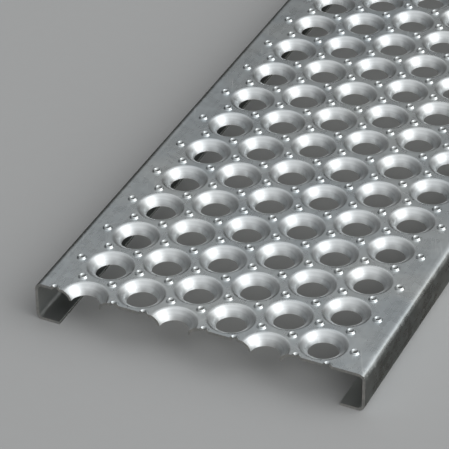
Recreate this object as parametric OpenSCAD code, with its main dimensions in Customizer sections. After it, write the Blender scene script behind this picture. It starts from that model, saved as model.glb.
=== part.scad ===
// Perforated safety plank: one cold-formed sheet bent into a shallow channel.
// The deck carries staggered columns of flared round holes and small raised
// pierced buttons between them. Both long edges are bent down into webs and
// in again into flat bottom flanges. The sheet is written as its five panels,
// which meet face to face in the flat metal beside each bend.
//
// Frame: X across the plank, Y along it, Z up. The origin is on the plane of
// the flange undersides, at the middle of the width and of the length.

/* [Plank] */
// Overall length along Y, in mm
plank_l = 1524; // [600:2:1600]
// Overall width over the webs, in mm
plank_w = 304.8; // [304:0.2:330]
// Depth from the flange underside to the deck's top face, in mm
plank_h = 38.1; // [34:0.1:65]

/* [Sheet] */
// Thickness of the sheet, in mm
sheet_t = 2.66; // [1.8:0.02:3]
// Outside radius of each bend, in mm
bend_r = 6.6; // [4:0.1:7]
// Width of a bottom flange, from the web's outer face to its free edge, in mm
flange_w = 22.2; // [16:0.1:40]

/* [Flared holes] */
// Distance between neighbouring hole centres, in mm
pitch = 48.381; // [48:0.001:48.6]
// Number of hole columns across the deck
columns = 6; // [2:1:6]
// Clear diameter through the throat of a hole, in mm
throat_d = 25.6; // [22:0.1:28]
// Diameter of the flare where it leaves the deck's top face, in mm
rim_d = 43.2; // [40:0.1:44]
// Diameter at the knee between the shallow flare and the steep throat, in mm
knee_d = 31.6; // [30:0.1:34]
// Depth of the knee below the deck's top face, in mm
knee_h = 3.3; // [2.6:0.1:4]
// Depth of the throat's lower edge below the deck's top face, in mm
throat_h = 8.6; // [7:0.1:10]

/* [Raised buttons] */
// Diameter of a button at the deck's top face, in mm
button_d = 8.2; // [7.4:0.1:8.6]
// Diameter of a button at its top, in mm
button_top_d = 5.8; // [5.6:0.1:6.2]
// Diameter of the dished mouth in a button's top, in mm
button_mouth_d = 5.2; // [4.2:0.1:5.3]
// Height of a button above the deck's top face, in mm
button_h = 2; // [1.4:0.1:2.4]
// Depth of the dish, from the button's top down to the pierced hole, in mm
button_dish_h = 1.5; // [0.8:0.1:1.6]
// Diameter of the hole pierced through a button, in mm
button_bore = 2.7; // [2:0.1:3.2]

/* [Hidden] */
$fn = 64;

// Distance between hole columns: the holes stand on equal-sided triangles
col_dx = pitch * sqrt(3) / 2;
// The panels meet this far outside the middle, in the flat metal
seam_x = plank_w / 2 - 2 * bend_r - 0.6;
// Wall thickness at the throat's lower edge, drawn thinner by the forming
lip_t = 2.1;
// Hole centres lie this far from the plank's near end, column by column:
// one column starts with a hole on the cut, the next half a pitch later
function start_y(c) = -plank_l / 2 + (c % 2 == 0 ? 0 : pitch / 2);
function col_x(c) = (c - (columns - 1) / 2) * col_dx;
// Number of hole centres from the first one up to the far end's cut
function rows(c) = floor((plank_l / 2 - start_y(c) + 0.6) / pitch) + 1;

zinc = [0.60, 0.63, 0.65];
zinc_side = [0.52, 0.55, 0.56];
zinc_flange = [0.46, 0.48, 0.49];

// Outside of one flared hole's cup, below the deck
module cup_body() {
    rotate_extrude()
        polygon([[0, -sheet_t / 2],
                 [rim_d / 2 + 2.2, -sheet_t / 2],
                 [knee_d / 2 + 1.2, -knee_h - 2.9],
                 [throat_d / 2 + lip_t, -throat_h],
                 [0, -throat_h]]);
}

// Space inside one flared hole, from above the deck to below the throat
module cup_space() {
    rim_slope = (rim_d - knee_d) / 2 / knee_h;
    rotate_extrude()
        polygon([[0, 0.5],
                 [rim_d / 2 + 0.5 * rim_slope, 0.5],
                 [knee_d / 2, -knee_h],
                 [throat_d / 2, -throat_h + 1.2],
                 [throat_d / 2, -throat_h - 1],
                 [0, -throat_h - 1]]);
}

// Outside of one raised button
module button_body() {
    lean = (button_d - button_top_d) / 2 / button_h;
    rotate_extrude()
        polygon([[0, -0.6],
                 [button_d / 2 + 0.6 * lean, -0.6],
                 [button_top_d / 2, button_h],
                 [0, button_h]]);
}

// Hole through one button, with the dish above it and the hollow that the
// raised metal leaves below
module button_space() {
    dish_slope = (button_mouth_d - button_bore) / 2 / button_dish_h;
    rotate_extrude()
        polygon([[0, -sheet_t - 0.5],
                 [button_bore / 2 + 1.9, -sheet_t - 0.5],
                 [button_bore / 2, -0.9],
                 [button_bore / 2, button_h - button_dish_h],
                 [button_mouth_d / 2 + 0.5 * dish_slope, button_h + 0.5],
                 [0, button_h + 0.5]]);
}

// Repeats its children at every hole centre of column c
module along(c, dx = 0) {
    for (i = [0 : rows(c) - 1])
        translate([col_x(c) + dx, start_y(c) + i * pitch, plank_h]) children();
}

// Repeats its children at every button: the middle of every triangle of holes,
// and of the triangles that the outer columns would make with one more column
module at_buttons() {
    for (c = [-1 : columns - 1]) along(c, 2 / 3 * col_dx) children();
    for (c = [0 : columns]) along(c, -2 / 3 * col_dx) children();
}

module perforated_deck() {
    color(zinc)
    difference() {
        union() {
            translate([-seam_x, -plank_l / 2 - 30, plank_h - sheet_t])
                cube([2 * seam_x, plank_l + 60, sheet_t]);
            for (c = [0 : columns - 1]) along(c) cup_body();
            at_buttons() button_body();
        }
        for (c = [0 : columns - 1]) along(c) cup_space();
        at_buttons() button_space();
        // the two sheared ends
        for (s = [-1, 1])
            translate([0, s * (plank_l / 2 + 50), plank_h])
                cube([plank_w + 20, 100, 60], center = true);
    }
}

// Section of the right web with its two bends, in the X-Z plane
module web_section() {
    module shell(r, d) {
        translate([seam_x - d, d])
            square([plank_w / 2 - bend_r - seam_x + d, plank_h - 2 * d]);
        translate([plank_w / 2 - bend_r - 0.4, bend_r])
            square([bend_r - d + 0.4, plank_h - 2 * bend_r]);
        for (z = [bend_r, plank_h - bend_r])
            translate([plank_w / 2 - bend_r, z]) circle(r = r);
    }
    difference() {
        shell(bend_r, 0);
        shell(bend_r - sheet_t, sheet_t);
    }
}

module side_web() {
    color(zinc_side)
    translate([0, plank_l / 2, 0])
        rotate([90, 0, 0])
            linear_extrude(height = plank_l) web_section();
}

module right_side_web() { side_web(); }
module left_side_web() { mirror([1, 0, 0]) side_web(); }

module bottom_flange() {
    color(zinc_flange)
    translate([plank_w / 2 - flange_w, -plank_l / 2, 0])
        cube([seam_x - (plank_w / 2 - flange_w), plank_l, sheet_t]);
}

module right_bottom_flange() { bottom_flange(); }
module left_bottom_flange() { mirror([1, 0, 0]) bottom_flange(); }

perforated_deck();
left_side_web();
right_side_web();
left_bottom_flange();
right_bottom_flange();
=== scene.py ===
import math

import bpy
import numpy as np
from mathutils import Matrix, Vector
from mathutils.geometry import tessellate_polygon


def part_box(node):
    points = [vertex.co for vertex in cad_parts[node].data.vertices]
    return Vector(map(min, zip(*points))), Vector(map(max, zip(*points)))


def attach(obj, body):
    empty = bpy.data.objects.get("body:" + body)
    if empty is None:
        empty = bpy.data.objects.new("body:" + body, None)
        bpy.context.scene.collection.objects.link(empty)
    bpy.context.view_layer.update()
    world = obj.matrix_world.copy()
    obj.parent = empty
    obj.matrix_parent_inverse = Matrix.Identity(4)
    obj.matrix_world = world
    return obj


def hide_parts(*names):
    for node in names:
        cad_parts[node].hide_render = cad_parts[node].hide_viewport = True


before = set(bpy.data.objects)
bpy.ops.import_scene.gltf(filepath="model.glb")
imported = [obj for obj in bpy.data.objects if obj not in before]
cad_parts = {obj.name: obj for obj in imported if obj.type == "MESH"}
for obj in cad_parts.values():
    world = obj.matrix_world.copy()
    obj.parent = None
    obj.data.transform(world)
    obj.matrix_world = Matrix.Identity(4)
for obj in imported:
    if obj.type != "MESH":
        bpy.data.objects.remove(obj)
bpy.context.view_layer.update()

# ---------------------------------------------------------------- frame sizes
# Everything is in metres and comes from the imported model's own boxes.
web_lo, web_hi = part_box("right_side_web")
flange_lo, flange_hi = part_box("right_bottom_flange")
deck_lo, deck_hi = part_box("perforated_deck")
HALF_L = web_hi.y                     # half the plank's length
HALF_W = web_hi.x                     # half its width over the webs
TOP = web_hi.z                        # the deck's top face
SHEET = flange_hi.z                   # sheet thickness
SEAM = web_lo.x                       # where the deck panel meets the webs
TIP = flange_lo.x                     # free edge of a bottom flange
BEND = (HALF_W - SEAM - 0.0006) / 2   # outside bend radius
PITCH = 2 * HALF_L / 31.5             # distance between hole centres
COL_DX = PITCH * math.sqrt(3) / 2     # distance between hole columns
COLUMNS = 6
MM = 0.001

# ------------------------------------------------------- profiles of the metal
RIM_R = 21.7 * MM                     # the flare leaves the flat deck here
COLLAR_R = 4.6 * MM                   # flat ring round every button
N_HOLE = 48                           # points round a hole, a multiple of 6
N_BUTTON = 24                         # points round a button, a multiple of 6
N_EDGE = 4                            # divisions of a straight line between two buttons


def hermite(points, angles, pull=1.0):
    """A dense smooth curve through points (r, z), leaving each at the slope angle (degrees below the inward horizontal)."""
    out = []
    p = np.array(points, float)
    d = np.array([(-math.cos(math.radians(a)), -math.sin(math.radians(a))) for a in angles])
    for i in range(len(p) - 1):
        chord = np.linalg.norm(p[i + 1] - p[i]) * pull
        t = np.linspace(0, 1, 60, endpoint=(i == len(p) - 2))[:, None]
        out.append(
            (2 * t**3 - 3 * t**2 + 1) * p[i]
            + (t**3 - 2 * t**2 + t) * d[i] * chord
            + (3 * t**2 - 2 * t**3) * p[i + 1]
            + (t**3 - t**2) * d[i + 1] * chord
        )
    return np.concatenate(out)


def air_normals(curve):
    """Unit normals on the open side of a curve that runs inwards along the top face."""
    t = np.gradient(curve, axis=0)
    t /= np.linalg.norm(t, axis=1)[:, None]
    return np.c_[t[:, 1], -t[:, 0]]


def by_turn(curve, count, weight=0.6):
    """Indices of count points along a dense curve, closer together where it turns."""
    n = air_normals(curve)
    step = np.linalg.norm(np.diff(curve, axis=0), axis=1)
    turn = np.arccos(np.clip((n[1:] * n[:-1]).sum(1), -1, 1))
    load = (1 - weight) * step / step.sum() + weight * turn / max(turn.sum(), 1e-9)
    at = np.concatenate([[0], np.cumsum(load)])
    return np.unique(np.round(np.interp(np.linspace(0, at[-1], count), at, np.arange(len(at)))).astype(int))


def folded_sheet(top, thick, n_top, n_lip, n_under, bulge, square=0.55):
    """The whole section of a formed edge: along the top face, round the edge and back along the underside.
    Returns points (r, z) and their normals. thick is the sheet's thickness along the curve."""
    nrm = air_normals(top)
    under = top - nrm * thick[:, None]
    un = -air_normals(under)
    a, b = top[-1], under[-1]
    mid, half = (a + b) / 2, np.linalg.norm(a - b) / 2
    across = (a - b) / (2 * half)
    along = np.array([across[1], -across[0]])
    if np.dot(along, top[-1] - top[-2]) < 0:
        along = -along
    phi = np.linspace(0, math.pi, 121)
    lip = (
        mid
        + across * (np.sign(np.cos(phi)) * np.abs(np.cos(phi)) ** square * half)[:, None]
        + along * (np.abs(np.sin(phi)) ** square * bulge)[:, None]
    )
    ln = air_normals(lip)
    i, j, k = by_turn(top, n_top), by_turn(lip, n_lip + 2)[1:-1], by_turn(under, n_under)[::-1]
    pts = np.concatenate([top[i], lip[j], under[k]])
    nor = np.concatenate([nrm[i], ln[j], un[k]])
    nor[0], nor[-1] = (0, 1), (0, -1)
    pts[-1] = (top[0, 0], top[0, 1] - thick[0])  # meets the flat underside exactly
    return pts, nor


def hole_section():
    top = hermite(
        [(RIM_R, 0), (19.05 * MM, -0.86 * MM), (15.65 * MM, -3.30 * MM), (14.0 * MM, -5.7 * MM), (13.05 * MM, -8.6 * MM)],
        [0, 31, 39.5, 62, 78],
    )
    s = np.linspace(0, 1, len(top))
    thick = SHEET * (1 - 0.27 * np.clip((s - 0.1) / 0.9, 0, 1) ** 1.2)
    return folded_sheet(top, thick, 13, 5, 9, bulge=0.32 * MM)


def button_section():
    # The raised ring: its outside flank, its crest, and the dish down to the pierced hole.
    top = hermite(
        [(COLLAR_R - 0.15 * MM, 0), (3.62 * MM, 0.86 * MM), (2.88 * MM, 1.96 * MM), (2.12 * MM, 1.22 * MM), (1.42 * MM, 0.5 * MM)],
        [0, -60, 0, 50, 55],
    )
    nrm = air_normals(top)
    # The underside is a hollow drawn up behind the raised metal.
    under = hermite(
        [(3.85 * MM, -SHEET), (3.1 * MM, -SHEET + 0.5 * MM), (2.2 * MM, -SHEET + 1.55 * MM), (1.36 * MM, -0.75 * MM)],
        [0, -46, -48, -80],
    )
    un = -air_normals(under)
    wall = hermite([(1.42 * MM, 0.5 * MM), (1.35 * MM, 0.3 * MM), (1.35 * MM, -0.45 * MM), (1.36 * MM, -0.75 * MM)], [58, 88, 90, 96])
    wn = air_normals(wall)
    i, j, k = by_turn(top, 16), by_turn(wall, 5)[1:], by_turn(under, 7)[::-1][1:]
    pts = np.concatenate([[(COLLAR_R, 0)], top[i], wall[j], under[k], [(COLLAR_R, -SHEET)]])
    nor = np.concatenate([[(0, 1)], nrm[i], wn[j], un[k], [(0, -1)]])
    nor[1], nor[-2] = (0, 1), (0, -1)
    return pts, nor


def start_y(c):
    return -HALF_L + (0 if c % 2 == 0 else PITCH / 2)


def col_x(c):
    return (c - (COLUMNS - 1) / 2) * COL_DX


# ------------------------------------------------------------- building blocks
class Soup:
    """Faces gathered as corner positions and corner normals, then welded into one mesh."""

    def __init__(self):
        self.pos, self.nor, self.size, self.slot = [], [], [], []

    def add(self, pos, nor, slot=0):
        pos, nor = np.asarray(pos, float), np.asarray(nor, float)
        n, k = pos.shape[:2]
        if n:
            self.pos.append(pos.reshape(-1, 3))
            self.nor.append(np.broadcast_to(nor, pos.shape).reshape(-1, 3))
            self.size.append(np.full(n, k))
            self.slot.append(np.full(n, slot))

    def add_moved(self, other, shifts):
        for pos, nor, size, slot in zip(other.pos, other.nor, other.size, other.slot):
            m = len(shifts)
            self.pos.append((pos[None] + np.asarray(shifts, float)[:, None]).reshape(-1, 3))
            self.nor.append(np.broadcast_to(nor, (m,) + nor.shape).reshape(-1, 3))
            self.size.append(np.tile(size, m))
            self.slot.append(np.tile(slot, m))


def weld(pos):
    key = np.floor(pos * 1e6 + 0.3137).astype(np.int64)
    packed = (key[:, 0] + 2**20) * 2**42 + (key[:, 1] + 2**20) * 2**21 + (key[:, 2] + 2**20)
    _, first, index = np.unique(packed, return_index=True, return_inverse=True)
    return pos[first], index.ravel()


def lattice_offset(xy, x0, y0):
    """Offset from the nearest point of a hole or button lattice that has a point at (x0, y0)."""
    u = (xy[:, 0] - x0) / COL_DX
    v = (xy[:, 1] - y0) / PITCH - u / 2
    best = np.full((len(xy), 2), 1e9)
    for du in (0, 1):
        for dv in (0, 1):
            a, b = np.floor(u) + du, np.floor(v) + dv
            off = np.c_[xy[:, 0] - x0 - a * COL_DX, xy[:, 1] - y0 - (b + a / 2) * PITCH]
            closer = np.hypot(*off.T) < np.hypot(*best.T)
            best[closer] = off[closer]
    return best


def lattice_distance(xy, x0, y0):
    return np.hypot(*lattice_offset(xy, x0, y0).T)


def ramp_up(x, a, b):
    t = np.clip((x - a) / (b - a), 0, 1)
    return t * t * (3 - 2 * t)


def handling(verts):
    """Where feet rub the metal bright, where shade is painted into the recesses and inside the channel, and where the
    punch drew the metal and which way, at every vertex.
    """
    xy, up = verts[:, :2], verts[:, 2] - TOP
    on_deck = (up > -9 * MM) & (np.abs(verts[:, 0]) < SEAM)
    stud_r = np.minimum(
        lattice_distance(xy, col_x(0) + COL_DX * 2 / 3, start_y(0)), lattice_distance(xy, col_x(0) - COL_DX * 2 / 3, start_y(0))
    )
    from_hole = lattice_offset(xy, col_x(0), start_y(0))
    hole_r = np.hypot(*from_hole.T)
    top_side = up > -0.05 * MM
    rubbed = ramp_up(up, 1.1 * MM, 1.9 * MM) * ramp_up(stud_r, 2.1 * MM, 2.8 * MM)
    rubbed = np.maximum(rubbed, 0.4 * ramp_up(-np.abs(hole_r - 20.0 * MM), -2.2 * MM, -0.2 * MM) * (up > -2 * MM))
    # painted shade: the button dishes, a ring round each button's foot and the low part of each throat
    dish = ramp_up(-stud_r, -2.75 * MM, -1.5 * MM) * (stud_r < 2.8 * MM)
    foot = 0.55 * ramp_up(-np.abs(stud_r - 4.3 * MM), -0.25 * MM, 0.0) * top_side
    throat = 0.12 * ramp_up(-up, 4.5 * MM, 8.5 * MM) * (hole_r < 16 * MM)
    recess_shade = np.maximum(np.maximum(dish, foot), throat)
    flare = on_deck & (hole_r < RIM_R + 0.5 * MM)
    drawn = ramp_up(-hole_r, -21.4 * MM, -18.5 * MM) * flare
    along = np.where(flare[:, None], from_hole / np.maximum(hole_r, 1e-6)[:, None], (0.0, 1.0))
    # painted shade inside the channel: the inner faces of the webs and bends, the flange tops and the lowest part of
    # each throat
    inside_channel_shade = (np.abs(verts[:, 0]) < HALF_W - SHEET + 0.05 * MM) & (verts[:, 2] > SHEET - 0.05 * MM) & (up < -SHEET + 0.05 * MM)
    inside_channel_shade &= (np.abs(verts[:, 0]) > SEAM - 0.05 * MM) | (up < -9 * MM)
    return {
        "rubbed": rubbed * on_deck,
        "recess_shade": recess_shade * on_deck,
        "drawn": drawn,
        "on_stud": on_deck & (stud_r < 3.9 * MM) & (up > 0.02 * MM),
        "inside_channel_shade": inside_channel_shade.astype(float),
        "along": np.c_[along, np.zeros(len(xy))],
    }


def make_object(name, soup, materials):
    pos, nor = np.concatenate(soup.pos), np.concatenate(soup.nor)
    size, slot = np.concatenate(soup.size), np.concatenate(soup.slot)
    verts, index = weld(pos)
    start = np.concatenate([[0], np.cumsum(size)[:-1]])
    me = bpy.data.meshes.new(name)
    me.vertices.add(len(verts))
    me.vertices.foreach_set("co", verts.astype(np.float32).ravel())
    me.loops.add(len(index))
    me.loops.foreach_set("vertex_index", index.astype(np.int32))
    me.polygons.add(len(size))
    me.polygons.foreach_set("loop_start", start.astype(np.int32))
    me.polygons.foreach_set("material_index", slot.astype(np.int32))
    me.update(calc_edges=True)
    me.validate()
    me.polygons.foreach_set("use_smooth", np.ones(len(me.polygons), bool))
    nor = nor / np.linalg.norm(nor, axis=1)[:, None]
    me.normals_split_custom_set(nor.tolist())
    for label, values in handling(verts).items():
        values = values.astype(float)
        if values.ndim == 1:
            me.attributes.new(label, "FLOAT", "POINT").data.foreach_set("value", values.astype(np.float32))
        else:
            me.attributes.new(label, "FLOAT_VECTOR", "POINT").data.foreach_set("vector", values.astype(np.float32).ravel())
    for m in materials:
        me.materials.append(m)
    o = bpy.data.objects.new(name, me)
    bpy.context.scene.collection.objects.link(o)
    return o


def revolve(section, normals, count, first, last):
    """Quads of a section turned about Z, from point first to point last of count round the circle."""
    a = 2 * math.pi * np.arange(first, last + 1) / count
    c, s = np.cos(a), np.sin(a)
    r, z = section[:, 0], section[:, 1]
    p = np.stack([np.outer(r, c), np.outer(r, s), np.outer(z, np.ones_like(c))], -1)
    n = np.stack([np.outer(normals[:, 0], c), np.outer(normals[:, 0], s), np.outer(normals[:, 1], np.ones_like(c))], -1)

    def corners(q):
        return np.stack([q[:-1, :-1], q[:-1, 1:], q[1:, 1:], q[1:, :-1]], 2).reshape(-1, 4, 3)

    return corners(p), corners(n)


def arc(cx, cy, r, a0, a1, n):
    a = np.radians(np.linspace(a0, a1, n + 1))
    return np.c_[cx + r * np.cos(a), cy + r * np.sin(a)]


def flat_sector(k):
    """Triangles of the flat metal in the k-th sixth of a hole's hexagon, counter-clockwise from above."""
    rc = PITCH / math.sqrt(3)
    m = N_BUTTON // 6
    c1, c2 = np.array([rc, 0.0]), rc * np.array([math.cos(math.pi / 3), math.sin(math.pi / 3)])
    inner = arc(0, 0, RIM_R, 0, 60, N_HOLE // 6)
    a1 = arc(*c1, COLLAR_R, 180, 120, m)
    a2 = arc(*c2, COLLAR_R, 300, 240, m)
    t = np.linspace(0, 1, N_EDGE + 1)[1:-1, None]
    outer = np.concatenate([a1, a1[-1] + (a2[0] - a1[-1]) * t, a2])
    tris, i, j = [], 0, 0
    while i < len(inner) - 1 or j < len(outer) - 1:
        go_inner = j == len(outer) - 1 or (
            i < len(inner) - 1
            and np.linalg.norm(inner[i + 1] - outer[j]) < np.linalg.norm(inner[i] - outer[j + 1])
        )
        if go_inner:
            tris.append((inner[i], outer[j], inner[i + 1]))
            i += 1
        else:
            tris.append((inner[i], outer[j], outer[j + 1]))
            j += 1
    w = math.radians(60 * k)
    turn = np.array([[math.cos(w), math.sin(w)], [-math.sin(w), math.cos(w)]])
    return np.array(tris) @ turn


def add_flat(soup, tris):
    """The same flat metal on the top face and on the underside."""
    for z, n, order in ((0.0, 1.0, (0, 1, 2)), (-SHEET, -1.0, (2, 1, 0))):
        p = np.concatenate([tris, np.full(tris.shape[:2] + (1,), z)], -1)[:, order]
        soup.add(p, [0, 0, n])


def cell(section, first_sixth, sixths):
    """One hole with the flat metal of its hexagon, or half of both at a sheared end."""
    s = Soup()
    n = N_HOLE // 6
    s.add(*revolve(*section, N_HOLE, first_sixth * n, (first_sixth + sixths) * n))
    for k in range(first_sixth, first_sixth + sixths):
        add_flat(s, flat_sector(k))
    return s


def button(section, first_sixth, sixths):
    s = Soup()
    n = N_BUTTON // 6
    s.add(*revolve(*section, N_BUTTON, first_sixth * n, (first_sixth + sixths) * n))
    return s


def edge_patch(xe, far, near):
    """Flat metal between the deck panel's straight edge at xe and two neighbouring outer buttons."""
    side = 1 if xe > 0 else -1
    m = N_BUTTON // 6
    (xo, yo), (xi, yi) = far, near
    up = 1 if yi > yo else -1

    def swept(cx, cy, a0, a1, n):  # angles from straight outwards, turning towards the other button
        a = np.radians(np.linspace(a0, a1, n + 1))
        return np.c_[cx + side * COLLAR_R * np.cos(a), cy + up * COLLAR_R * np.sin(a)]

    a1 = swept(xo, yo, 0, 120, 2 * m)
    a2 = swept(xi, yi, -60, 0, m)
    t = np.linspace(0, 1, N_EDGE + 1)[1:-1, None]
    loop = np.concatenate([[(xe, yo)], a1, a1[-1] + (a2[0] - a1[-1]) * t, a2, [(xe, yi)]])
    tri = tessellate_polygon([[Vector((x, y, 0)) for x, y in loop]])
    tris = loop[np.array(tri)]
    e1, e2 = tris[:, 1] - tris[:, 0], tris[:, 2] - tris[:, 0]
    cross = e1[:, 0] * e2[:, 1] - e1[:, 1] * e2[:, 0]
    tris = tris[np.abs(cross) > 1e-12]
    cross = cross[np.abs(cross) > 1e-12]
    tris[cross < 0] = tris[cross < 0][:, ::-1]
    return tris


def centres(c):
    """Hole or button rows of column c, split into those cut at the near end, whole ones, and those cut at the far end."""
    ys = start_y(c) + PITCH * np.arange(0, 33)
    ys = ys[ys < HALF_L + 1e-6]
    near = ys[np.abs(ys + HALF_L) < 1e-6]
    far = ys[np.abs(ys - HALF_L) < 1e-6]
    whole = ys[(np.abs(ys + HALF_L) >= 1e-6) & (np.abs(ys - HALF_L) >= 1e-6)]
    return near, whole, far


def fill(loop):
    """Triangles of a flat closed loop, as indices, with every point of a straight run kept as a corner."""
    tris = [tuple(t) for t in tessellate_polygon([[Vector((x, z, 0)) for x, z in loop]])]

    def length(a, b):
        return math.hypot(*(loop[a] - loop[b]))

    def height(t):
        (ax, az), (bx, bz), (cx, cz) = loop[list(t)]
        longest = max(length(t[0], t[1]), length(t[1], t[2]), length(t[2], t[0]))
        return abs((bx - ax) * (cz - az) - (bz - az) * (cx - ax)) / longest

    for _ in range(4 * len(tris)):
        thin = next((t for t in tris if height(t) < 1e-7), None)
        if thin is None:
            break
        mid = max(range(3), key=lambda i: length(thin[i - 1], thin[i - 2]))
        b, a, c = thin[mid], thin[mid - 1], thin[mid - 2]
        tris.remove(thin)
        host = next((t for t in tris if a in t and c in t), None)
        if host is not None:
            d = next(v for v in host if v not in (a, c))
            tris.remove(host)
            tris += [(a, b, d), (b, c, d)]
    return np.array(tris)


def close_strip(soup):
    """Closes a strip of deck: upright walls along its inside borders, and the sheared faces at both ends."""
    pos = np.concatenate(soup.pos)
    size = np.concatenate(soup.size)
    verts, index = weld(pos)
    start = np.concatenate([[0], np.cumsum(size)[:-1]])
    nxt = np.arange(len(index)) + 1
    nxt[start + size - 1] = start
    a, b = index, index[nxt]
    key = np.minimum(a, b).astype(np.int64) * 2**32 + np.maximum(a, b)
    _, inv, count = np.unique(key, return_inverse=True, return_counts=True)
    lone = count[inv.ravel()] == 1
    a, b = a[lone], b[lone]
    at_end = lambda v: np.abs(np.abs(verts[v, 1]) - HALF_L) < 2e-6
    ends = at_end(a) & at_end(b) & (np.abs(verts[a, 1] - verts[b, 1]) < 1e-6)
    flat_top = (np.abs(verts[a, 2]) < 1e-7) & (np.abs(verts[b, 2]) < 1e-7) & ~ends
    pa, pb = verts[a[flat_top]], verts[b[flat_top]]
    down = np.array([0, 0, -SHEET])
    quads = np.stack([pb, pa, pa + down, pb + down], 1)
    e = pb - pa
    n = np.c_[e[:, 1], -e[:, 0], np.zeros(len(e))]
    n /= np.linalg.norm(n, axis=1)[:, None]
    walls = Soup()
    walls.add(quads, np.repeat(n[:, None], 4, 1))
    for name in ("pos", "nor", "size", "slot"):
        getattr(soup, name).extend(getattr(walls, name))
    # the sheared faces: every closed loop of edges left in an end plane
    pos = np.concatenate(soup.pos)
    size = np.concatenate(soup.size)
    verts, index = weld(pos)
    start = np.concatenate([[0], np.cumsum(size)[:-1]])
    nxt = np.arange(len(index)) + 1
    nxt[start + size - 1] = start
    a, b = index, index[nxt]
    key = np.minimum(a, b).astype(np.int64) * 2**32 + np.maximum(a, b)
    _, inv, count = np.unique(key, return_inverse=True, return_counts=True)
    lone = count[inv.ravel()] == 1
    follow = dict(zip(b[lone].tolist(), a[lone].tolist()))  # against the faces' own direction
    while follow:
        v0, v = next(iter(follow.items()))
        loop = [v0]
        while v != v0:
            loop.append(v)
            v = follow.pop(v)
        follow.pop(v0, None)
        p = verts[loop]
        sign = -1.0 if p[:, 1].mean() < 0 else 1.0
        tris = p[fill(p[:, [0, 2]])]
        n = np.cross(tris[:, 1] - tris[:, 0], tris[:, 2] - tris[:, 0])
        keep = np.abs(n[:, 1]) > 1e-14
        tris, n = tris[keep], n[keep]
        wrong = n[:, 1] * sign < 0
        tris[wrong] = tris[wrong][:, ::-1]
        soup.add(tris, [0, sign, 0], slot=1)


def deck_strip(c, hole, stud):
    """The part of the deck that holds hole column c, with the buttons on its right side. Column -1 is the left margin."""
    s = Soup()
    parts = (cell(hole, 0, 3), cell(hole, 0, 6), cell(hole, 3, 3))
    for part, ys in zip(parts, centres(c) if c >= 0 else ((), (), ())):
        if len(ys):
            s.add_moved(part, [(col_x(c), y, 0) for y in ys])
    stud_parts = (button(stud, 0, 3), button(stud, 0, 6), button(stud, 3, 3))
    rows = [(col_x(c) + COL_DX * 2 / 3, c), (col_x(c) + COL_DX / 3, c + 1)]
    for x, rule in rows:
        for part, ys in zip(stud_parts, centres(rule)):
            if len(ys):
                s.add_moved(part, [(x, y, 0) for y in ys])
    for side, column in ((-1, 0), (1, COLUMNS - 1)):
        if c != (-1 if side < 0 else column):
            continue
        xo, xi = col_x(column) + side * COL_DX * 2 / 3, col_x(column) + side * COL_DX / 3
        first = -HALF_L
        outer_starts = column % 2 == 0
        for k in range(63):
            y0, y1 = first + k * PITCH / 2, first + (k + 1) * PITCH / 2
            outer_first = (k % 2 == 0) == outer_starts
            yo, yi = (y0, y1) if outer_first else (y1, y0)
            add_flat(s, edge_patch(side * SEAM, (xo, yo), (xi, yi)))
    close_strip(s)
    s.pos = [p + np.array([0, 0, TOP]) for p in s.pos]
    return s


def bar(section, normals, slots=None):
    """A closed section (x, z) run the whole length along Y. normals holds two normals for each of its sides."""
    s = Soup()
    n = len(section)
    nxt = np.roll(section, -1, 0)
    y0, y1 = -HALF_L, HALF_L
    quad = np.stack(
        [
            np.c_[section[:, 0], np.full(n, y0), section[:, 1]],
            np.c_[section[:, 0], np.full(n, y1), section[:, 1]],
            np.c_[nxt[:, 0], np.full(n, y1), nxt[:, 1]],
            np.c_[nxt[:, 0], np.full(n, y0), nxt[:, 1]],
        ],
        1,
    )
    na = np.c_[normals[:, 0, 0], np.zeros(n), normals[:, 0, 1]]
    nb = np.c_[normals[:, 1, 0], np.zeros(n), normals[:, 1, 1]]
    nn = np.stack([na, na, nb, nb], 1)
    face = np.cross(quad[:, 1] - quad[:, 0], quad[:, 3] - quad[:, 0])
    if (face * nn[:, 0]).sum() < 0:
        quad, nn = quad[:, ::-1], nn[:, ::-1]
    # cut into lengths, so that no face is a sliver a metre and a half long
    steps = np.linspace(0, 1, 25)
    for f0, f1 in zip(steps[:-1], steps[1:]):
        q = quad.copy()
        low, high = y0 + (y1 - y0) * f0, y0 + (y1 - y0) * f1
        q[..., 1] = np.where(quad[..., 1] < 0, low, high)
        s.add(q, nn)
    tri = np.array(tessellate_polygon([[Vector((x, z, 0)) for x, z in section]]))
    for y, sign in ((y0, -1.0), (y1, 1.0)):
        p = np.c_[section[:, 0], np.full(n, y), section[:, 1]]
        tris = p[tri]
        m = np.cross(tris[:, 1] - tris[:, 0], tris[:, 2] - tris[:, 0])
        keep = np.abs(m[:, 1]) > 1e-14
        tris, m = tris[keep], m[keep]
        wrong = m[:, 1] * sign < 0
        tris[wrong] = tris[wrong][:, ::-1]
        s.add(tris, [0, sign, 0], slot=1)
    return s


def path(parts):
    """Joins arcs and corners into a closed section. A part is ("c", x, z) or ("a", cx, cz, r, a0, a1, n, out)."""
    pts, nor = [], []
    for p in parts:
        if p[0] == "c":
            pts.append((p[1], p[2]))
            nor.append(None)
        else:
            _, cx, cz, r, a0, a1, n, out = p
            for a in np.radians(np.linspace(a0, a1, n + 1)):
                pts.append((cx + r * math.cos(a), cz + r * math.sin(a)))
                nor.append((out * math.cos(a), out * math.sin(a)))
    pts = np.array(pts)
    nxt = np.roll(pts, -1, 0)
    e = nxt - pts
    e /= np.linalg.norm(e, axis=1)[:, None]
    area = 0.5 * (pts[:, 0] * nxt[:, 1] - nxt[:, 0] * pts[:, 1]).sum()
    flat = np.c_[e[:, 1], -e[:, 0]] * (1 if area > 0 else -1)
    both = np.zeros((len(pts), 2, 2))
    for i in range(len(pts)):
        for k, j in enumerate((i, (i + 1) % len(pts))):
            n = nor[j]
            both[i, k] = flat[i] if n is None or np.dot(n, flat[i]) < 0.9 else n
    return pts, both


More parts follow.
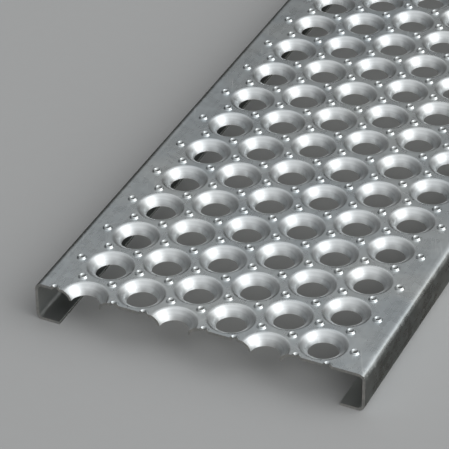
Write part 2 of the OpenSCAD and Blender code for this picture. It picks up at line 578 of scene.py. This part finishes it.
def web_bar(side):
    r, ri = BEND, BEND - SHEET
    cx = HALF_W - BEND
    pts, nor = path(
        [
            ("c", SEAM, 0),
            ("a", cx, r, r, -90, 0, 14, 1),
            ("a", cx, TOP - r, r, 0, 90, 14, 1),
            ("c", SEAM, TOP),
            ("c", SEAM, TOP - SHEET),
            ("a", cx, TOP - r, ri, 90, 0, 10, -1),
            ("a", cx, r, ri, 0, -90, 10, -1),
            ("c", SEAM, SHEET),
        ]
    )
    return mirrored(pts, nor, side)


def flange_bar(side):
    q = 0.4 * MM  # the sheared free edge is not sharp
    pts, nor = path(
        [
            ("c", SEAM, 0),
            ("c", SEAM, SHEET),
            ("a", TIP + q, SHEET - q, q, 90, 180, 4, 1),
            ("a", TIP + q, q, q, 180, 270, 4, 1),
        ]
    )
    return mirrored(pts, nor, side)


def mirrored(pts, nor, side):
    if side < 0:
        pts, nor = pts * [-1, 1], nor * [-1, 1]
    return bar(pts, nor)


# ------------------------------------------------------------------- materials
class Nodes:
    """A short way to write a node material."""

    def __init__(self, name):
        self.mat = bpy.data.materials.new(name)
        self.mat.use_nodes = True
        self.tree = self.mat.node_tree
        self.tree.nodes.clear()
        self.out = self.tree.nodes.new("ShaderNodeOutputMaterial")

    def new(self, kind, inputs=None, **props):
        n = self.tree.nodes.new(kind)
        for k, v in props.items():
            setattr(n, k, v)
        for k, v in (inputs or {}).items():
            if isinstance(v, bpy.types.NodeSocket):
                self.tree.links.new(v, n.inputs[k])
            else:
                n.inputs[k].default_value = v
        return n

    def place(self, scale):
        at = self.new("ShaderNodeTexCoord").outputs["Object"]
        return self.new("ShaderNodeMapping", {"Vector": at, "Scale": scale}).outputs["Vector"]

    def noise(self, vec, scale, detail=4.0, rough=0.55, distort=0.0):
        return self.new(
            "ShaderNodeTexNoise",
            {"Vector": vec, "Scale": scale, "Detail": detail, "Roughness": rough, "Distortion": distort},
        ).outputs["Fac"]

    def math(self, op, a, b=0.0, c=None, clamp=False):
        n = self.new("ShaderNodeMath", operation=op, use_clamp=clamp)
        for i, v in enumerate((a, b) if c is None else (a, b, c)):
            if isinstance(v, bpy.types.NodeSocket):
                self.tree.links.new(v, n.inputs[i])
            else:
                n.inputs[i].default_value = v
        return n.outputs[0]

    def range(self, v, a, b, c, d, smooth=False):
        return self.new(
            "ShaderNodeMapRange",
            {"Value": v, "From Min": a, "From Max": b, "To Min": c, "To Max": d},
            interpolation_type="SMOOTHSTEP" if smooth else "LINEAR",
        ).outputs["Result"]

    def mix(self, fac, a, b, blend="MIX"):
        n = self.new("ShaderNodeMix", data_type="RGBA", blend_type=blend)
        for i, v in ((0, fac), (6, a), (7, b)):
            if isinstance(v, bpy.types.NodeSocket):
                self.tree.links.new(v, n.inputs[i])
            else:
                n.inputs[i].default_value = v if i == 0 else (*v, 1.0)
        return n.outputs[2]


def zinc_material():
    """Hot-dip galvanised sheet: soft crystal flowers, cloudy patches, fine rolling streaks, rubbed raised tops, with
    shade painted into the recesses and inside the channel.
    """
    m = Nodes("galvanised_zinc")
    own = m.place((1, 1, 1))
    drawn = m.place((1.0, 0.035, 1.0))
    wobble = m.new(
        "ShaderNodeVectorMath",
        {0: own, 1: m.new("ShaderNodeVectorMath", {0: m.new("ShaderNodeTexNoise", {"Vector": own, "Scale": 90.0, "Detail": 3.0}).outputs["Color"], 3: 0.006}, operation="SCALE").outputs[0]},
        operation="ADD",
    ).outputs[0]
    flower = m.new("ShaderNodeTexVoronoi", {"Vector": wobble, "Scale": 150.0, "Randomness": 1.0}, feature="F1")
    tone = m.new("ShaderNodeSeparateColor", {"Color": flower.outputs["Color"]}).outputs[0]
    clouds = m.noise(own, 9.0, 5.0, 0.6, 0.6)
    patches = m.noise(own, 38.0, 4.0, 0.6, 0.4)
    streaks = m.noise(drawn, 260.0, 3.0, 0.55)
    fine = m.noise(drawn, 1400.0, 2.0, 0.5)
    grain = m.noise(own, 1500.0, 3.0, 0.6)
    # colour
    value = m.math("ADD", m.math("MULTIPLY", m.math("SUBTRACT", tone, 0.5), 0.07), 1.0)
    value = m.math("ADD", value, m.math("MULTIPLY", m.math("SUBTRACT", clouds, 0.5), 0.28))
    value = m.math("ADD", value, m.math("MULTIPLY", m.math("SUBTRACT", patches, 0.5), 0.20))
    value = m.math("ADD", value, m.math("MULTIPLY", m.math("SUBTRACT", streaks, 0.5), 0.16))
    tint = m.mix(m.range(clouds, 0.35, 0.65, 0.0, 1.0, True), (0.545, 0.585, 0.603), (0.585, 0.608, 0.605))
    # dull specks of zinc oxide, few and small
    specks = m.range(m.noise(own, 420.0, 2.0, 0.7), 0.70, 0.78, 0.0, 1.0, True)
    tint = m.mix(m.math("MULTIPLY", specks, 0.35), tint, (0.72, 0.73, 0.73))
    base = m.new("ShaderNodeVectorMath", {0: tint, 3: value}, operation="SCALE").outputs[0]
    # light scuffs and scratches from handling, each set lying its own way
    scuffs = 0.0
    for k, turn in enumerate((0.35, 1.15, 2.2)):
        lie = m.new("ShaderNodeMapping", {"Vector": own, "Rotation": (0.0, 0.0, turn), "Location": (0.37 * k, 0.0, 0.0)}).outputs["Vector"]
        line = m.noise(m.new("ShaderNodeMapping", {"Vector": lie, "Scale": (0.045, 1.0, 1.0)}).outputs["Vector"], 620.0, 1.0, 0.4)
        patch = m.range(m.noise(lie, 24.0, 2.0, 0.5), 0.52, 0.66, 0.0, 1.0, True)
        scuffs = m.math("MAXIMUM", scuffs, m.math("MULTIPLY", m.range(line, 0.60, 0.72, 0.0, 1.0, True), patch))
    base = m.mix(m.math("MULTIPLY", scuffs, 0.32), base, (0.80, 0.81, 0.81))
    # crests and rims are rubbed brighter and smoother by feet; painted shade darkens the button dishes, a ring round
    # each button's foot and the low part of each throat
    rubbed = m.new("ShaderNodeAttribute", attribute_name="rubbed").outputs["Fac"]
    base = m.mix(m.math("MULTIPLY", rubbed, 0.3), base, (0.70, 0.71, 0.715))
    # the punch burnished the flares, and left them finely scored round the hole
    drawn = m.new("ShaderNodeAttribute", attribute_name="drawn").outputs["Fac"]
    along = m.new("ShaderNodeAttribute", attribute_name="along").outputs["Vector"]
    base = m.mix(m.math("MULTIPLY", drawn, 0.62), base, (0.80, 0.815, 0.82))
    depth = m.new("ShaderNodeSeparateXYZ", {"Vector": own}).outputs["Z"]
    sway = m.math("MULTIPLY_ADD", m.noise(own, 45.0, 2.0, 0.5), 0.0016, depth)
    scores = m.new("ShaderNodeTexNoise", {"W": sway, "Scale": 950.0, "Detail": 3.0, "Roughness": 0.65}, noise_dimensions="1D").outputs["Fac"]
    scores = m.math("MULTIPLY", m.math("SUBTRACT", scores, 0.5), drawn)
    base = m.new("ShaderNodeVectorMath", {0: base, 3: m.math("MULTIPLY_ADD", scores, 0.30, 1.0)}, operation="SCALE").outputs[0]
    # painted shade: the base colour goes dark in the dishes, round the button feet and low in the throats, blotched by
    # the patches noise
    recess_shade = m.new("ShaderNodeAttribute", attribute_name="recess_shade").outputs["Fac"]
    recess_shade = m.math("MULTIPLY", recess_shade, m.range(patches, 0.3, 0.6, 0.55, 1.0), clamp=True)
    base = m.mix(m.math("MULTIPLY", recess_shade, 0.7), base, (0.22, 0.22, 0.21))
    # inside the channel the base colour is darkened, which is painted shade; the zinc there is also made rougher below
    inside_channel_shade = m.new("ShaderNodeAttribute", attribute_name="inside_channel_shade").outputs["Fac"]
    base = m.mix(m.math("MULTIPLY", inside_channel_shade, m.range(clouds, 0.3, 0.7, 0.65, 0.95)), base, (0.31, 0.315, 0.31))
    # roughness
    rough = m.math("ADD", m.math("MULTIPLY", m.math("SUBTRACT", tone, 0.5), 0.05), 0.29)
    rough = m.math("ADD", rough, m.math("MULTIPLY", inside_channel_shade, 0.16))
    rough = m.math("ADD", rough, m.math("MULTIPLY", m.math("SUBTRACT", patches, 0.5), 0.16))
    rough = m.math("ADD", rough, m.math("MULTIPLY", m.math("SUBTRACT", streaks, 0.5), 0.10))
    rough = m.math("ADD", rough, m.math("MULTIPLY", specks, 0.15))
    rough = m.math("ADD", rough, m.math("MULTIPLY", recess_shade, 0.12))
    rough = m.math("ADD", rough, m.math("MULTIPLY", scuffs, 0.08))
    rough = m.math("ADD", rough, m.math("MULTIPLY", drawn, 0.11))
    on_stud = m.new("ShaderNodeAttribute", attribute_name="on_stud").outputs["Fac"]
    rough = m.math("ADD", rough, m.math("MULTIPLY", on_stud, 0.10))
    rough = m.math("SUBTRACT", rough, m.math("MULTIPLY", rubbed, 0.03), clamp=True)
    # relief
    relief = m.math("ADD", m.math("MULTIPLY", grain, 0.12), m.math("MULTIPLY", fine, 0.30))
    relief = m.math("ADD", relief, m.math("MULTIPLY", streaks, 0.5))
    relief = m.math("ADD", relief, m.math("MULTIPLY", m.noise(own, 55.0, 2.0, 0.5), 1.7))
    bump = m.new("ShaderNodeBump", {"Height": relief, "Strength": 0.30, "Distance": 0.00035}).outputs["Normal"]
    shader = m.new(
        "ShaderNodeBsdfPrincipled",
        {"Base Color": base, "Metallic": 1.0, "Roughness": rough, "Normal": bump, "Anisotropic": m.math("MULTIPLY", drawn, 0.93), "Tangent": along},
    )
    m.tree.links.new(shader.outputs[0], m.out.inputs["Surface"])
    return m.mat


def sheared_material():
    """Sheared steel edge: patchy grey with upright tool lines."""
    m = Nodes("sheared_edge")
    own = m.place((1, 1, 1))
    lines = m.noise(m.place((1.0, 1.0, 0.06)), 1600.0, 3.0, 0.6)
    patches = m.noise(own, 160.0, 3.0, 0.6)
    grain = m.noise(own, 2600.0, 2.0, 0.6)
    value = m.math("ADD", m.math("MULTIPLY", m.math("SUBTRACT", lines, 0.5), 0.5), 1.0)
    value = m.math("ADD", value, m.math("MULTIPLY", m.math("SUBTRACT", patches, 0.5), 0.35))
    tint = m.mix(m.range(patches, 0.4, 0.62, 0.0, 1.0, True), (0.43, 0.44, 0.445), (0.49, 0.49, 0.485))
    base = m.new("ShaderNodeVectorMath", {0: tint, 3: value}, operation="SCALE").outputs[0]
    rough = m.math("ADD", m.math("MULTIPLY", lines, 0.25), 0.33, clamp=True)
    relief = m.math("ADD", lines, m.math("MULTIPLY", grain, 0.4))
    bump = m.new("ShaderNodeBump", {"Height": relief, "Strength": 0.5, "Distance": 0.0003}).outputs["Normal"]
    shader = m.new(
        "ShaderNodeBsdfPrincipled",
        {"Base Color": base, "Metallic": 1.0, "Roughness": rough, "Normal": bump},
    )
    m.tree.links.new(shader.outputs[0], m.out.inputs["Surface"])
    return m.mat


def floor_material():
    """Pale matt studio floor. From below it lets the view through, so that the plank's underside can be looked at."""
    m = Nodes("studio_floor")
    own = m.place((1, 1, 1))
    clouds = m.noise(own, 0.8, 3.0, 0.5)
    grain = m.noise(own, 60.0, 3.0, 0.6)
    value = m.math("ADD", m.math("MULTIPLY", m.math("SUBTRACT", clouds, 0.5), 0.04), 1.0)
    value = m.math("ADD", value, m.math("MULTIPLY", m.math("SUBTRACT", grain, 0.5), 0.02))
    base = m.new("ShaderNodeVectorMath", {0: (FLOOR, FLOOR, FLOOR * 0.995), 3: value}, operation="SCALE").outputs[0]
    shader = m.new("ShaderNodeBsdfPrincipled", {"Base Color": base, "Roughness": 0.9, "Specular IOR Level": 0.1})
    clear = m.new("ShaderNodeBsdfTransparent")
    side = m.new("ShaderNodeNewGeometry").outputs["Backfacing"]
    both = m.new("ShaderNodeMixShader", {0: side, 1: shader.outputs[0], 2: clear.outputs[0]})
    m.tree.links.new(both.outputs[0], m.out.inputs["Surface"])
    return m.mat


FLOOR = 0.34

# ---------------------------------------------------------------------- pieces
zinc, edge = zinc_material(), sheared_material()
hole, stud = hole_section(), button_section()


def place(o, node):
    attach(o, "root")
    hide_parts(node)


for c in range(-1, COLUMNS):
    name = f"deck_hole_column_{c + 1}" if c >= 0 else "deck_left_margin"
    place(make_object(name, deck_strip(c, hole, stud), (zinc, edge)), "perforated_deck")
for side, word in ((-1, "left"), (1, "right")):
    place(make_object(f"{word}_web_with_bends", web_bar(side), (zinc, edge)), f"{word}_side_web")
    place(make_object(f"{word}_flange", flange_bar(side), (zinc, edge)), f"{word}_bottom_flange")

# ----------------------------------------------------------------------- stage
me = bpy.data.meshes.new("floor")
ring = 96
me.from_pydata(
    [(60 * math.cos(2 * math.pi * i / ring), 60 * math.sin(2 * math.pi * i / ring), 0) for i in range(ring)],
    [],
    [list(range(ring))],
)
floor = bpy.data.objects.new("floor", me)
bpy.context.scene.collection.objects.link(floor)
me.materials.append(floor_material())
floor.visible_glossy = False  # the metal mirrors the dim studio below it, as in front of a dark backdrop


# A wide soft light from the right, a paler one overhead, and little from the back left. Each lobe is
# (direction it comes from, how narrow it is, strength).
LOBES = (
    ((0.922, 0.047, 0.383), 2.5, 1.634),
    ((-0.413, 0.171, 0.894), 6.0, 0.215),
    ((0.859, 0.509, 0.061), 14.0, 3.820),
    ((0.643, 0.086, 0.761), 14.0, 1.280),
    ((0.857, -0.430, -0.283), 6.0, 1.019),
    ((-0.313, 0.445, 0.839), 14.0, 0.574),
    ((-0.072, -0.556, 0.828), 6.0, 0.792),
    ((0.785, -0.065, 0.617), 14.0, 0.710),
    ((0.960, -0.243, -0.139), 14.0, 1.035),
)
DIM = 0.05                                # what the metal mirrors below the horizon
FRONT = ((-0.45, -0.88, 0.10), 7.0, 0.22)   # the pale side of the studio, low at the front left
UNDER = ((0.0, 0.0, -1.0), 12.0, 1.30)    # so that the underside can be seen from below
LOW = ((-0.353, -0.735, -0.579), 5.0, 0.15)  # and a weak light from low in front, for the sheared ends
world = bpy.data.worlds.new("studio")
bpy.context.scene.world = world
world.use_nodes = True
wt = world.node_tree
wt.nodes.clear()


def wnode(kind, ins=None, **props):
    n = wt.nodes.new(kind)
    for k, v in props.items():
        setattr(n, k, v)
    for k, v in (ins or {}).items():
        if isinstance(v, bpy.types.NodeSocket):
            wt.links.new(v, n.inputs[k])
        else:
            n.inputs[k].default_value = v
    return n


towards = wnode("ShaderNodeVectorMath", {0: wnode("ShaderNodeTexCoord").outputs["Generated"]}, operation="NORMALIZE").outputs[0]
split = wnode("ShaderNodeSeparateXYZ", {0: towards}).outputs


def step(v, a, b):
    ins = {"Value": v, "From Min": a, "From Max": b, "To Min": 0.0, "To Max": 1.0}
    return wnode("ShaderNodeMapRange", ins, interpolation_type="SMOOTHSTEP").outputs["Result"]


def blend(fac, a, b):
    ins = {"Value": fac, "From Min": 0.0, "From Max": 1.0, "To Min": a, "To Max": b}
    return wnode("ShaderNodeMapRange", ins).outputs["Result"]


# The lights fade out below the horizon on the front side, and end above it on the back side.
above = blend(step(split["Y"], 0.2, 0.7), step(split["Z"], -0.75, -0.15), step(split["Z"], 0.18, 0.48))


def lobe(total, d, k, w):
    dot = wnode("ShaderNodeVectorMath", {0: towards, 1: Vector(d).normalized()}, operation="DOT_PRODUCT").outputs["Value"]
    lift = wnode("ShaderNodeMath", {0: dot, 1: k, 2: -k}, operation="MULTIPLY_ADD").outputs[0]
    return wnode("ShaderNodeMath", {0: wnode("ShaderNodeMath", {0: lift}, operation="EXPONENT").outputs[0], 1: w, 2: total}, operation="MULTIPLY_ADD").outputs[0]


total = 0.0
for d, k, w in LOBES:
    total = lobe(total, d, k, w)
total = lobe(total, *FRONT)
total = blend(above, DIM, total)
for extra in (LOW, UNDER):
    total = lobe(total, *extra)
hue = wnode("ShaderNodeMix", {0: above, 6: (1.03, 1.0, 0.90, 1.0), 7: (0.985, 1.0, 1.01, 1.0)}, data_type="RGBA").outputs[2]
back = wnode("ShaderNodeBackground", {"Color": hue, "Strength": total})
wt.links.new(back.outputs[0], wnode("ShaderNodeOutputWorld").inputs["Surface"])

# ---------------------------------------------------------------------- camera
# The view of the hole lattice, in hole pitches from the middle of the near end at the deck's height
F_PX = 2612.51
RIGHT = (0.9040418, 0.4273412, -0.0093707)
DOWN = (0.2406060, -0.5268779, -0.8151739)
AHEAD = (-0.3532946, 0.7346966, -0.5791405)
EYE = (15.839505, -31.766681, 27.383053)
cam = bpy.data.cameras.new("camera")
cam.sensor_width = 36.0
cam.lens = F_PX / 449 * 36.0
cam.clip_start, cam.clip_end = 0.05, 100
co = bpy.data.objects.new("camera", cam)
co.matrix_world = Matrix(
    (
        (RIGHT[0], -DOWN[0], -AHEAD[0], EYE[0] * PITCH),
        (RIGHT[1], -DOWN[1], -AHEAD[1], EYE[1] * PITCH - HALF_L),
        (RIGHT[2], -DOWN[2], -AHEAD[2], EYE[2] * PITCH + TOP),
        (0, 0, 0, 1),
    )
)
bpy.context.scene.collection.objects.link(co)
bpy.context.scene.camera = co
bpy.context.scene.view_settings.view_transform = "Standard"
